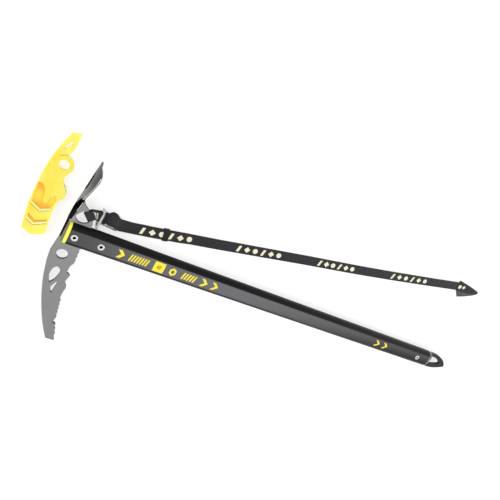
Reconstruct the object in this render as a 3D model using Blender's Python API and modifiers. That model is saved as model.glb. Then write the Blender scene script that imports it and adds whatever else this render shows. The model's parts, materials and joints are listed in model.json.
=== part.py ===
"""Ice axe with a wrist leash and a clip-on head cover, laid flat on a floor.

Row frame: +Z up, the floor at Z = 0, +X along the shaft towards the spike, +Y towards
the adze. The axe itself is drawn in its own frame, whose origin is the centre of the
shaft's mouth, +X along the shaft, +Y towards the adze and +Z out of the head's side.
That frame is tilted by a few degrees, because the axe rests on three points: one corner
of the adze, the pick's tip and the underside of the rivet near the spike.

Outlines and profiles are lists of millimetres, which the helpers turn into metres.
"""

import math

import bmesh
import bpy
from mathutils import Matrix, Vector

MM = 0.001
GAP = 0.3 * MM

# The axe's place on the floor.
AXE_X = -336 * MM
AXE_Y = 22 * MM

# Shaft: an aluminium tube with flat broad sides and round narrow ones.
SHAFT_HEIGHT = 31 * MM
SHAFT_WIDTH = 20 * MM
SHAFT_LENGTH = 669 * MM
SHAFT_WALL = 1.5 * MM
SHAFT_END_SLANT = 0.1

# Head: one forged plate, with a tang inside the shaft and a scooped adze.
PLATE = 3.2 * MM
TANG_REACH = 55 * MM
TANG_HALF = 9 * MM
COLLAR = 4 * MM
BLADE = 3.0 * MM

# Tubular rivets through the shaft.
RIVET_R = 2.7 * MM
RIVET_BORE_R = 1.9 * MM
RIVET_HEAD_R = 4.5 * MM
RIVET_HEAD = 0.8 * MM
HEAD_RIVET_1 = 7 * MM
HEAD_RIVET_2 = 40.5 * MM
SPIKE_RIVET = 639 * MM

# Spike: a pointed steel loop with a tang inside the shaft.
SPIKE_PLATE = 5 * MM
SPIKE_TANG = 622 * MM
FERRULE = 4.5 * MM

# Leash webbing.
WEB = 1.2 * MM
WEB_WIDTH = 15 * MM
LAYER_1 = 0.9 * MM
LAYER_2 = 2.4 * MM
LAYER_3 = 3.9 * MM

# Head cover: a moulded sheath, 12 mm tall as it lies.
COVER_X = -370.5 * MM
COVER_Y = 97.5 * MM
COVER_HEIGHT = 12 * MM
# Its ring and tongue, past this Y in its own frame, are a thinner plate at its top.
COVER_THIN_PAST = -11.5 * MM
COVER_THIN_BOTTOM = 6.5 * MM


# ---------------------------------------------------------------- scene and materials


def clear_scene():
    """Remove every object and collection that the file starts with."""
    for obj in list(bpy.data.objects):
        bpy.data.objects.remove(obj, do_unlink=True)
    for collection in list(bpy.data.collections):
        bpy.data.collections.remove(collection)


def new_collection(name):
    collection = bpy.data.collections.new(name)
    bpy.context.scene.collection.children.link(collection)
    return collection


clear_scene()
PARTS = new_collection("ice_axe")
CUTTERS = new_collection("cutters")


def material(name, colour, roughness, metallic):
    """A Principled material with one colour."""
    made = bpy.data.materials.new(name)
    made.use_nodes = True
    shader = made.node_tree.nodes["Principled BSDF"]
    shader.inputs["Base Color"].default_value = (*colour, 1)
    shader.inputs["Roughness"].default_value = roughness
    shader.inputs["Metallic"].default_value = metallic
    made.diffuse_color = (*colour, 1)
    return made


FORGED_STEEL = material("forged_steel", (0.27, 0.27, 0.28), 0.42, 1.0)
SHAFT_GREY = material("shaft_grey", (0.12, 0.12, 0.13), 0.38, 0.6)
COLLAR_YELLOW = material("collar_yellow", (0.92, 0.84, 0.12), 0.45, 0.0)
LINER_PLASTIC = material("liner_plastic", (0.03, 0.03, 0.03), 0.6, 0.0)
RIVET_STEEL = material("rivet_steel", (0.75, 0.75, 0.76), 0.25, 1.0)
SPIKE_BLACK = material("spike_black", (0.02, 0.02, 0.02), 0.4, 0.4)
FERRULE_STEEL = material("ferrule_steel", (0.4, 0.4, 0.4), 0.35, 1.0)
WEBBING = material("webbing", (0.045, 0.042, 0.048), 0.9, 0.0)
BUCKLE_STEEL = material("buckle_steel", (0.62, 0.62, 0.63), 0.3, 1.0)
KEEPER_RUBBER = material("keeper_rubber", (0.012, 0.012, 0.012), 0.55, 0.0)
COVER_YELLOW = material("cover_yellow", (0.95, 0.78, 0.08), 0.35, 0.0)


# ------------------------------------------------------------------- modelling helpers


def metres(points):
    """A list of points in millimetres, in metres."""
    return [tuple(value * MM for value in point) for point in points]


def smooth(points, steps=4):
    """Points on a smooth curve (Catmull-Rom) through the given ones."""
    ends = [points[0], *points, points[-1]]
    result = []
    for a, b, c, d in zip(ends, ends[1:], ends[2:], ends[3:]):
        for k in range(steps):
            t = k / steps
            result.append(
                tuple(
                    0.5
                    * (
                        2 * q
                        + (r - p) * t
                        + (2 * p - 5 * q + 4 * r - s) * t**2
                        + (3 * q - p - 3 * r + s) * t**3
                    )
                    for p, q, r, s in zip(a, b, c, d)
                )
            )
    result.append(tuple(points[-1]))
    return result


def arc(centre, radius, start, end, steps=12):
    """Points along a circle's arc, from one angle to another in degrees."""
    angles = [math.radians(start + (end - start) * k / steps) for k in range(steps + 1)]
    return [
        (centre[0] + radius * math.cos(a), centre[1] + radius * math.sin(a)) for a in angles
    ]


def stadium(height, width, steps=14):
    """The shaft's outline: round at both ends of its height, flat along its width."""
    radius = width / 2
    reach = height / 2 - radius
    return arc((reach, 0), radius, -90, 90, steps) + arc((-reach, 0), radius, 90, 270, steps)


def between(value, table):
    """Straight-line interpolation in a short table of (position, value) pairs."""
    for (a, low), (b, high) in zip(table, table[1:]):
        if value <= b:
            return low + (high - low) * max(0.0, value - a) / (b - a)
    return table[-1][1]


def add(obj, parent=None, paint=None, collection=PARTS):
    """Link an object, and give it its parent and its material."""
    collection.objects.link(obj)
    obj.parent = parent
    if paint is not None:
        obj.data.materials.append(paint)
    return obj


def as_cutter(obj):
    """Move an object to the cutters: it shapes others and isn't a part."""
    for collection in list(obj.users_collection):
        collection.objects.unlink(obj)
    CUTTERS.objects.link(obj)
    obj.hide_render = True
    obj.display_type = "WIRE"
    return obj


def boolean(target, tool, operation):
    """Cut or join one object with another."""
    as_cutter(tool)
    modifier = target.modifiers.new(operation.lower(), "BOOLEAN")
    modifier.operation = operation
    modifier.solver = "EXACT"
    modifier.object = tool
    return target


def bevel(obj, width, segments=1):
    """Break an object's sharp edges."""
    modifier = obj.modifiers.new("edges", "BEVEL")
    modifier.width = width
    modifier.segments = segments
    modifier.limit_method = "ANGLE"
    modifier.angle_limit = math.radians(40)
    return obj


def shade(obj, angle=35):
    """Smooth shading, except across sharp edges."""
    obj.data.shade_smooth()
    obj.data.set_sharp_from_angle(angle=math.radians(angle))
    return obj


def curve_mesh(name, curve, weld=0.00002):
    """A closed mesh from a curve, with its caps welded on."""
    guide = bpy.data.objects.new(name + "_curve", curve)
    bpy.context.scene.collection.objects.link(guide)
    graph = bpy.context.evaluated_depsgraph_get()
    mesh = bpy.data.meshes.new_from_object(guide.evaluated_get(graph))
    bpy.data.objects.remove(guide)
    bpy.data.curves.remove(curve)
    shape = bmesh.new()
    shape.from_mesh(mesh)
    bmesh.ops.remove_doubles(shape, verts=shape.verts, dist=weld)
    bmesh.ops.recalc_face_normals(shape, faces=shape.faces)
    shape.to_mesh(mesh)
    shape.free()
    mesh.name = name
    return bpy.data.objects.new(name, mesh)


def plate(name, loops, bottom, top):
    """A flat plate: closed outlines in metres, the first outside and the rest holes."""
    curve = bpy.data.curves.new(name, "CURVE")
    curve.dimensions = "2D"
    curve.fill_mode = "BOTH"
    curve.extrude = (top - bottom) / 2
    for loop in loops:
        spline = curve.splines.new("POLY")
        spline.points.add(len(loop) - 1)
        for point, (x, y) in zip(spline.points, loop):
            point.co = (x, y, 0, 1)
        spline.use_cyclic_u = True
    obj = curve_mesh(name, curve)
    obj.data.transform(Matrix.Translation((0, 0, (top + bottom) / 2)))
    return obj


# A plate drawn in its own X and Y stands across the shaft: X to the axe's Y, Y to its Z.
ACROSS_SHAFT = Matrix(((0, 0, 1, 0), (1, 0, 0, 0), (0, 1, 0, 0), (0, 0, 0, 1)))


def along_shaft(name, loops, start, end):
    """A bar along the shaft, with closed outlines in metres as its section."""
    obj = plate(name, loops, start, end)
    obj.data.transform(ACROSS_SHAFT)
    return obj


def cylinder(name, radius, bottom, top, x, y, segments=28):
    """A round bar along Z."""
    mesh = bpy.data.meshes.new(name)
    shape = bmesh.new()
    bmesh.ops.create_cone(
        shape,
        cap_ends=True,
        segments=segments,
        radius1=radius,
        radius2=radius,
        depth=top - bottom,
        matrix=Matrix.Translation((x, y, (top + bottom) / 2)),
    )
    shape.to_mesh(mesh)
    shape.free()
    return bpy.data.objects.new(name, mesh)


def block(name, low, high):
    """A box between two corners, in metres."""
    mesh = bpy.data.meshes.new(name)
    shape = bmesh.new()
    size = [b - a for a, b in zip(low, high)]
    middle = [(a + b) / 2 for a, b in zip(low, high)]
    place = Matrix.Translation(middle) @ Matrix.Diagonal((*size, 1))
    bmesh.ops.create_cube(shape, size=1, matrix=place)
    shape.to_mesh(mesh)
    shape.free()
    return bpy.data.objects.new(name, mesh)


def turned(name, profile, steps=28):
    """A turned ring: a closed (radius, height) profile in metres, swept about Z."""
    mesh = bpy.data.meshes.new(name)
    shape = bmesh.new()
    points = [shape.verts.new((radius, 0, height)) for radius, height in profile]
    for a, b in zip(points, points[1:] + points[:1]):
        shape.edges.new((a, b))
    shape.to_mesh(mesh)
    shape.free()
    obj = bpy.data.objects.new(name, mesh)
    screw = obj.modifiers.new("turn", "SCREW")
    screw.steps = steps
    screw.render_steps = steps
    screw.use_merge_vertices = True
    screw.merge_threshold = 0.00001
    return obj


def surface(name, rows):
    """An open surface through rows of points in metres."""
    mesh = bpy.data.meshes.new(name)
    shape = bmesh.new()
    grid = [[shape.verts.new(point) for point in row] for row in rows]
    for low, high in zip(grid, grid[1:]):
        for a, b, c, d in zip(low, low[1:], high[1:], high):
            shape.faces.new((a, b, c, d))
    shape.to_mesh(mesh)
    shape.free()
    return bpy.data.objects.new(name, mesh)


def thicken(obj, thickness, offset=0.0):
    """Turn an open surface into a shell of even thickness."""
    modifier = obj.modifiers.new("thickness", "SOLIDIFY")
    modifier.thickness = thickness
    modifier.offset = offset
    modifier.use_even_offset = True
    return obj


# -------------------------------------------------------------- how the axe rests


ADZE_CORNER = Vector((4.5, 84, -24.5)) * MM
PICK_CORNER = Vector((33, -165, -1.6)) * MM
RIVET_RIM = Vector((639.4, -4.1, -11.1)) * MM
FLOOR_CLEARANCE = 0.2 * MM


def resting_frame():
    """The axe's own frame in the row frame, tilted onto its three points of contact."""
    up = (PICK_CORNER - ADZE_CORNER).cross(RIVET_RIM - ADZE_CORNER).normalized()
    up = up if up.z > 0 else -up
    along = (Vector((1, 0, 0)) - up * up.x).normalized()
    side = up.cross(along)
    turn = Matrix((along, side, up))
    height = FLOOR_CLEARANCE - (turn @ ADZE_CORNER).z
    return Matrix.Translation((AXE_X, AXE_Y, height)) @ turn.to_4x4()


def empty(name, place, parent=None):
    """An empty that holds a group of parts, or marks a joint's axis."""
    obj = bpy.data.objects.new(name, None)
    PARTS.objects.link(obj)
    obj.parent = parent
    obj.matrix_basis = place
    return obj


# ------------------------------------------------------------------------- the head


# The spine's line (y, x), the adze's half width and how far its edges droop (all by y).
RIDGE = [(-8, -9.4), (4, -9.1), (20, -8.9), (32, -8.4), (44, -7.0), (55, -5.2), (63, -4.1)]
RIDGE += [(74, -2.5), (85, -0.8), (93, 0.6), (99, 1.4)]
HALF_WIDTH = [(-8, 1.8), (4, 2.2), (16, 3.5), (28, 5.0), (37, 6.5), (47, 9.0), (55, 12.0)]
HALF_WIDTH += [(60, 14.8), (68, 19.2), (76, 22.6), (84, 24.5), (99, 24.5)]
DROOP = [(-8, 0.0), (20, 0.5), (32, 1.5), (44, 3.0), (55, 4.0), (68, 4.9), (84, 5.8), (99, 4.6)]
ADZE_SHOULDER = 84
ADZE_END = 98.3
ADZE_ROUNDNESS = 2.6


def adze_point(y, share):
    """A point of the adze's outer face in mm: share runs from -1 to 1 across its width."""
    body = between(y, HALF_WIDTH)
    width = body
    if y > ADZE_SHOULDER:
        past = (y - ADZE_SHOULDER) / (ADZE_END - ADZE_SHOULDER)
        width = body * (1 - past**ADZE_ROUNDNESS) ** (1 / ADZE_ROUNDNESS)
    z = share * width
    return (between(y, RIDGE) + between(y, DROOP) * (z / body) ** 2, y, z)


def adze(name):
    """The adze and the flange that it grows out of, with its oval slot."""
    lengthwise = [-8 + 7 * k for k in range(13)]
    lengthwise += [78, 81, 84, 87, 90, 92, 94, 95.5, 96.7, 97.5, 98.1]
    shares = [k / 8 for k in range(-8, 9)]
    rows = [metres(adze_point(y, share) for share in shares) for y in lengthwise]
    blade = thicken(surface(name, rows), BLADE, -1)
    weights = blade.vertex_groups.new(name="thinning")
    columns = len(shares)
    for index in range(len(blade.data.vertices)):
        y = lengthwise[index // columns]
        edge = abs(shares[index % columns])
        thin = between(y, [(-8, 1.0), (50, 1.0), (75, 0.75), (92, 0.6), (99, 0.3)])
        weights.add([index], thin * (1 - 0.35 * edge**3), "REPLACE")
    blade.modifiers["thickness"].vertex_group = weights.name
    slot = smooth([(-6.3, 70), (-5.2, 64.5), (0, 61.5), (5.2, 64.5), (6.3, 70), (6.0, 76)])
    slot += smooth([(5.0, 81.5), (0, 87), (-5.0, 81.5), (-6.0, 76)])
    cutter = plate(name + "_slot", [metres(slot)], -15 * MM, 15 * MM)
    cutter.data.transform(Matrix(((0, 0, 1, 0), (0, 1, 0, 0), (-1, 0, 0, 0), (0, 0, 0, 1))))
    add(blade)
    add(cutter)
    return boolean(blade, cutter, "DIFFERENCE")


def toothed(start, end, count, depth, hook=0.3):
    """Small teeth along a straight line: each rises slowly and drops back by its depth."""
    (x0, y0), (x1, y1) = start, end
    length = math.hypot(x1 - x0, y1 - y0)
    inward = (-(y1 - y0) / length * depth, (x1 - x0) / length * depth)
    points = []
    for k in range(count):
        top = k / count
        root = (k + hook) / count
        points.append((x0 + (x1 - x0) * top, y0 + (y1 - y0) * top))
        points.append((x0 + (x1 - x0) * root + inward[0], y0 + (y1 - y0) * root + inward[1]))
    return points


def head_outline():
    """The head plate seen from its side, with the tang, anticlockwise from the adze."""
    spine = smooth(
        [(27.4, -164.6), (17.4, -144.5), (8.0, -121.5), (-0.6, -96), (-7.1, -71.5), (-11.4, -47)]
    )
    spine += smooth([(-12.5, -31), (-10.4, -16), (-8.6, -4), (-7.8, 6), (-7.5, 20), (-7.0, 32)])
    spine += smooth([(-5.9, 42), (-4.8, 50), (-3.6, 58)])
    gusset = smooth([(-2.2, 57), (-0.2, 52.5), (1.5, 47), (4.6, 42), (9.8, 37.8), (15.6, 32.4)])
    gusset += smooth([(19.4, 27), (21.0, 21.5), (20.8, 15.8)])
    mouth = -(COLLAR / MM) - 0.3
    side = SHAFT_HEIGHT / MM / 2 + 0.3
    tang = TANG_HALF / MM
    reach = TANG_REACH / MM
    seat = [(mouth, side), (mouth, tang), (reach - 3, tang), (reach, tang - 3)]
    seat += [(reach, 3 - tang), (reach - 3, -tang), (mouth, -tang), (mouth, -side)]
    root = [(20.6, -side), (18.6, -20.2), (20.2, -21.8), (19.6, -26.8), (20.6, -28.4)]
    root += [(19.4, -33.2), (20.8, -35.0), (20.2, -39.6)]
    hollow = smooth([(18.0, -43.8), (17.1, -49.5), (17.0, -55.2)])
    spur = [(19.2, -56.2), (22.2, -58.6)]
    spur += smooth([(20.8, -64), (19.6, -70.4)])
    bump = smooth([(21.4, -72.6), (23.4, -75.6), (24.0, -79.2), (23.2, -83.6)])
    blade = smooth([(22.8, -88.4), (22.9, -94.0)])
    fine = toothed((23.4, -97.5), (28.3, -130.5), 5, 1.2)
    step = [(28.3, -130.5), (26.9, -136.2), (30.2, -137.0)]
    front = toothed((30.2, -137.0), (36.6, -158.5), 3, 1.3)
    tip = [(36.6, -158.5), (39.2, -165.4)]
    return gusset + seat + root + hollow + spur + bump + blade + fine + step + front + tip + spine


def head_holes():
    """The carabiner hole and the three openings of the pick."""
    carabiner = smooth(
        [(-1.4, 24.8), (0.6, 21.0), (4.0, 18.6), (8.2, 17.9), (12.6, 19.4), (15.8, 22.2)], 3
    )
    carabiner += smooth([(16.2, 24.2), (11.6, 29.4), (7.2, 33.8), (5.0, 34.0), (1.2, 29.6)], 3)
    circle = arc((2.4, -31.4), 7.0, 0, 345, 23)
    leaf = smooth([(3.2, -50.6), (7.2, -52.6), (9.0, -57.4), (8.6, -63.4), (6.2, -71.4)], 3)
    leaf += smooth([(2.4, -76.6), (1.0, -74.8), (-1.4, -66.0), (-1.4, -59.0), (0.2, -53.4)], 3)
    wedge = [(11.8, -72.4), (11.4, -78.0), (9.9, -90.0), (8.4, -90.6)]
    wedge += smooth([(6.2, -84.6), (6.6, -80.6), (9.4, -74.2)], 3)
    return [metres(carabiner), metres(circle), metres(leaf), metres(wedge)]


def rivet_holes(obj, places, bottom, top):
    """Drill a part for the rivets, with a running gap."""
    for number, x in enumerate(places):
        name = f"{obj.name}_drill_{number + 1}"
        drill = add(cylinder(name, RIVET_R + GAP, bottom, top, x, 0), obj.parent)
        boolean(obj, drill, "DIFFERENCE")
    return obj


def build_head(axe):
    """The forged head: pick, adze and tang in one piece."""
    outline = [metres(head_outline()), *head_holes()]
    head = add(plate("axe_head", outline, -PLATE / 2, PLATE / 2), axe, FORGED_STEEL)
    blade = adze("adze_blade")
    blade.parent = axe
    bpy.data.objects["adze_blade_slot"].parent = axe
    boolean(head, blade, "UNION")
    rivet_holes(head, [HEAD_RIVET_1, HEAD_RIVET_2], -PLATE, PLATE)
    return shade(head)


# ------------------------------------------------------------------------- the shaft


def shaft_section(shrink=0.0):
    """The shaft's outline, made smaller all round by a distance in metres."""
    return stadium(SHAFT_HEIGHT - 2 * shrink, SHAFT_WIDTH - 2 * shrink)


def slant_end(obj, x):
    """Lean an object's far end, so that it reaches further on the pick's side."""
    for vertex in obj.data.vertices:
        if vertex.co.x > x - 1 * MM:
            vertex.co.x -= SHAFT_END_SLANT * vertex.co.y
    return obj


def tang_slot(name, axe, start, end, half_thickness, half_height):
    """The room that a tang needs in the piece round it."""
    low = (start, -half_height - GAP, -half_thickness - GAP)
    high = (end, half_height + GAP, half_thickness + GAP)
    return add(block(name, low, high), axe)


def build_shaft(axe):
    """The tube, the yellow collar in its mouth and the liners that fill it round the tang."""
    loops = [shaft_section(), shaft_section(SHAFT_WALL)]
    tube = add(along_shaft("shaft_tube", loops, 0, SHAFT_LENGTH), axe, SHAFT_GREY)
    slant_end(tube, SHAFT_LENGTH)
    rivet_holes(
        tube, [HEAD_RIVET_1, HEAD_RIVET_2, SPIKE_RIVET], -SHAFT_WIDTH, SHAFT_WIDTH
    )
    shade(tube)
    section = [shaft_section()]
    collar = add(along_shaft("shaft_collar", section, -COLLAR, -GAP), axe, COLLAR_YELLOW)
    slot = tang_slot("collar_slot", axe, -2 * COLLAR, COLLAR, PLATE / 2, TANG_HALF)
    boolean(shade(collar), slot, "DIFFERENCE")
    liner_pair(axe, "tang_liner", GAP, TANG_REACH + 3 * MM, PLATE / 2)
    for side in ("upper", "lower"):
        liner = bpy.data.objects["tang_liner_" + side]
        rivet_holes(liner, [HEAD_RIVET_1, HEAD_RIVET_2], -SHAFT_WIDTH, SHAFT_WIDTH)


def liner_pair(axe, name, start, end, half_thickness):
    """Two plastic halves between a tang's faces and the tube's inside."""
    inner = SHAFT_WALL + GAP
    level = half_thickness + GAP
    radius = SHAFT_WIDTH / 2 - inner
    reach = SHAFT_HEIGHT / 2 - inner - radius
    lift = math.degrees(math.asin(level / radius))
    half = arc((reach, 0), radius, lift, 90, 8) + arc((-reach, 0), radius, 90, 180 - lift, 8)
    upper = add(along_shaft(name + "_upper", [half], start, end), axe, LINER_PLASTIC)
    below = [(y, -z) for y, z in reversed(half)]
    lower = add(along_shaft(name + "_lower", [below], start, end), axe, LINER_PLASTIC)
    shade(upper)
    shade(lower)


def build_rivet(name, axe, x):
    """A tubular rivet, flared over both sides of the shaft."""
    seat = SHAFT_WIDTH / 2 + GAP
    outer = seat + RIVET_HEAD
    rim = RIVET_HEAD_R - 0.4 * MM
    half = [(RIVET_R, seat), (RIVET_HEAD_R, seat), (RIVET_HEAD_R, seat + 0.3 * MM)]
    half += [(rim, outer), (RIVET_BORE_R + 0.5 * MM, outer), (RIVET_BORE_R, outer - 0.4 * MM)]
    below = [(radius, -height) for radius, height in half]
    profile = below + half[::-1]
    rivet = add(turned(name, profile), axe, RIVET_STEEL)
    rivet.location = (x, 0, 0)
    return shade(rivet)


# ------------------------------------------------------------------------- the spike


def build_spike(axe):
    """The pointed loop with its tang, the ferrule behind it and the liners."""
    base = (SHAFT_LENGTH + FERRULE) / MM + 2 * 0.3
    tang = TANG_HALF / MM
    start = SPIKE_TANG / MM
    point = (726, -3.5)
    upper = smooth([point, (721, 2.4), (713, 8.0), (702, 12.2), (690, 14.4), (base + 1, 15.0)], 5)
    lower = smooth([(base + 1, -15.0), (690, -15.2), (704, -13.2), (716, -9.2), (724, -5.6)], 5)
    shank = [(base, 15), (base, tang), (start, tang), (start, -tang), (base, -tang), (base, -15)]
    opening = smooth([(683, 8.6), (695, 6.6), (704, 3.4), (709.5, -0.2)], 4)
    opening += smooth([(708.5, -2.2), (700, -5.0), (690, -7.4), (682.5, -8.8)], 3)
    opening += smooth([(681, -6), (681, 6)], 2)
    loops = [metres(upper + shank + lower), metres(opening)]
    thickness = SPIKE_PLATE / 2
    spike = add(plate("spike", loops, -thickness, thickness), axe, SPIKE_BLACK)
    rivet_holes(spike, [SPIKE_RIVET], -SPIKE_PLATE, SPIKE_PLATE)
    bevel(shade(spike), 0.6 * MM, 2)
    section = [shaft_section(0.4 * MM)]
    ferrule_start = SHAFT_LENGTH + GAP
    ferrule = add(
        along_shaft("spike_ferrule", section, ferrule_start, ferrule_start + FERRULE),
        axe,
        FERRULE_STEEL,
    )
    for vertex in ferrule.data.vertices:
        near = vertex.co.x < ferrule_start + FERRULE / 2
        vertex.co.x -= (SHAFT_END_SLANT * vertex.co.y) if near else 0
    far = (SPIKE_TANG, SHAFT_LENGTH + 3 * FERRULE)
    slot = tang_slot("ferrule_slot", axe, *far, SPIKE_PLATE / 2, TANG_HALF)
    boolean(shade(ferrule), slot, "DIFFERENCE")
    liner_pair(axe, "spike_liner", SPIKE_TANG, SHAFT_LENGTH - 6 * MM, SPIKE_PLATE / 2)
    for side in ("upper", "lower"):
        liner = bpy.data.objects["spike_liner_" + side]
        rivet_holes(liner, [SPIKE_RIVET], -SHAFT_WIDTH, SHAFT_WIDTH)


def build_axe():
    axe = empty("axe_frame", resting_frame())
    build_head(axe)
    build_shaft(axe)
    build_rivet("head_rivet_front", axe, HEAD_RIVET_1)
    build_rivet("head_rivet_rear", axe, HEAD_RIVET_2)
    build_spike(axe)
    build_rivet("spike_rivet", axe, SPIKE_RIVET)


# ------------------------------------------------------------------------- the leash

# The strap's centreline on the floor, in the row frame, from the buckle to its far end.
STRAP_ROUTE = [
    (-0.3085, 0.0515),
    (-0.2970, 0.0505),
    (-0.2850, 0.0498),
    (-0.2750, 0.0503),
    (-0.2650, 0.0515),
    (-0.2557, 0.0532),
    (-0.2205, 0.05995),
    (-0.1852, 0.0667),
    (-0.1500, 0.0735),
    (-0.1199, 0.0797),
    (-0.0822, 0.0874),
    (-0.0428, 0.0955),
    (-0.0015, 0.1040),
    (0.0420, 0.1125),
    (0.0874, 0.1215),
    (0.1352, 0.1315),
    (0.1850, 0.1423),
    (0.2373, 0.1540),
    (0.2924, 0.1666),
    (0.3042, 0.1693),
]
ROUTE_STEPS = 6

# The webbing's layers rise a little where the keeper's wall passes under them.
HUMP = 0.7 * MM
HUMP_FROM = 66 * MM
HUMP_TO = 106 * MM
HUMP_RAMP = 8 * MM
KEEPER_AT = 88 * MM
KEEPER_LENGTH = 7.5 * MM
KEEPER_WALL = 0.8 * MM
TAIL_END = 110 * MM

# The buckle's frame, in its own u (along the strap) and v (across it).
BUCKLE_PLACE = Vector((-0.3085, 0.0515, 0))
BUCKLE_TURN = math.radians(-4.4)
BUCKLE_BOTTOM = 3.4 * MM
BUCKLE_TOP = 5.6 * MM
TRUNNION_R = 0.9 * MM
BAIL_AXIS = Vector((-0.3, 0, 4.5)) * MM


def route_line():
    """The strap's smooth centreline, and how far along it each of its points is."""
    line = [Vector(point) for point in smooth(STRAP_ROUTE, ROUTE_STEPS)]
    along = [0.0]
    for a, b in zip(line, line[1:]):
        along.append(along[-1] + (b - a).length)
    return line, along


ROUTE, ALONG = route_line()


def on_route(s):
    """The place and the direction of the strap's centreline at a distance along it."""
    for a, b, start, end in zip(ROUTE, ROUTE[1:], ALONG, ALONG[1:]):
        if s <= end or b is ROUTE[-1]:
            direction = (b - a).normalized()
            return a + direction * (s - start), direction
    raise ValueError("past the strap's end")


def lift(s):
    """How much higher the webbing lies at a distance along the strap."""
    rise = min((s - HUMP_FROM) / HUMP_RAMP + 1, (HUMP_TO - s) / HUMP_RAMP + 1, 1)
    rise = max(0.0, rise)
    return HUMP * rise * rise * (3 - 2 * rise)


def webbing(name, path, parent=None):
    """A length of webbing: its path is (distance, height, aside, half width) in mm."""
    rows = []
    for s, z, aside, half in path:
        centre, direction = on_route(s * MM)
        across = Vector((-direction.y, direction.x))
        height = z * MM + lift(s * MM)
        row = []
        for share in (-1, 0, 1):
            place = centre + across * (aside + share * half) * MM
            row.append((place.x, place.y, height))
        rows.append(row)
    strap = add(surface(name, rows), parent, WEBBING)
    return shade(thicken(strap, WEB), 60)


def lengthwise(start, end, step):
    """Even distances from start to end, in mm."""
    count = max(1, round(abs(end - start) / step))
    return [start + (end - start) * k / count for k in range(count + 1)]


def build_straps(leash):
    """Two layers of webbing: the lower one, and the upper one with its arch and tail."""
    half = WEB_WIDTH / MM / 2
    low = LAYER_1 / MM
    middle = LAYER_2 / MM
    high = LAYER_3 / MM
    far = ALONG[-1] / MM
    lower = [(s, low, 0, half) for s in lengthwise(-1.5, far, 5)]
    webbing("leash_lower_strap", lower, leash)
    upper = [(s, middle, 0, half) for s in lengthwise(far, 124, 5)]
    upper += [(s, high, 0, half) for s in lengthwise(113, 44, 5)]
    arch = [(38, 4.3, 0, half), (33, 5.2, 0, half), (28, 7.0, 0.2, half), (24, 9.4, 1.6, 7.8)]
    arch += [(20, 12.2, 4.2, 8.6), (16, 14.0, 6.4, 9.2), (12, 14.6, 7.2, 9.2)]
    arch += [(8.8, 13.4, 6.0, 9.0), (6.4, 11.2, 2.6, 8.0), (5.0, 8.4, 0.6, half)]
    arch += [(5.0, 6.0, 0, half), (5.8, 4.1, 0, half), (7.4, 2.8, 0, half), (10, 2.4, 0, half)]
    upper += smooth(arch, 2)
    upper += [(s, middle, 0, half) for s in lengthwise(15, TAIL_END / MM, 5)]
    webbing("leash_upper_strap", upper, leash)


def build_end_fold(leash):
    """The folded, pointed end that closes the wrist loop."""
    outline = [(304.9, 162.2), (309.2, 161.6), (320.2, 151.6), (337.4, 158.2)]
    outline += smooth([(350, 164.2), (358.6, 169.2), (361.4, 173.0), (358, 175.6), (330, 178.6)], 3)
    outline += [(303.0, 180.6), (302.0, 176.9)]
    fold = plate("leash_end_fold", [metres(outline)], 0.3 * MM, 3.3 * MM)
    add(fold, leash, WEBBING)
    end, direction = on_route(ALONG[-1])
    clear = block("end_fold_cut", (-20 * MM, -20 * MM, -1 * MM), (GAP, 20 * MM, 10 * MM))
    turn = Matrix.Rotation(math.atan2(direction.y, direction.x), 4, "Z")
    clear.data.transform(Matrix.Translation((end.x, end.y, 0)) @ turn)
    boolean(fold, add(clear, leash), "DIFFERENCE")
    return shade(fold)


def build_keeper(leash):
    """The sleeve that holds the strap's layers together and slides along them."""
    place, direction = on_route(KEEPER_AT)
    slide = empty("keeper_slide_axis", Matrix.Identity(4), leash)
    slide.location = (place.x, place.y, 0)
    slide.rotation_euler = (0, 0, math.atan2(direction.y, direction.x))
    inner = (WEB_WIDTH / 2 + GAP, LAYER_1 + HUMP - WEB / 2 - GAP, LAYER_3 + HUMP + WEB / 2 + GAP)
    outer = (inner[0] + KEEPER_WALL, 0.2 * MM, inner[2] + KEEPER_WALL)
    loops = []
    for (reach, low, high), radius in ((outer, 1.0 * MM), (inner, 0.4 * MM)):
        corners = []
        corners += arc((reach - radius, high - radius), radius, 0, 90, 4)
        corners += arc((radius - reach, high - radius), radius, 90, 180, 4)
        corners += [(-reach, low), (reach, low)]
        loops.append(corners)
    half = KEEPER_LENGTH / 2
    keeper = along_shaft("strap_keeper", loops, -half, half)
    return shade(add(keeper, slide, KEEPER_RUBBER))


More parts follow.
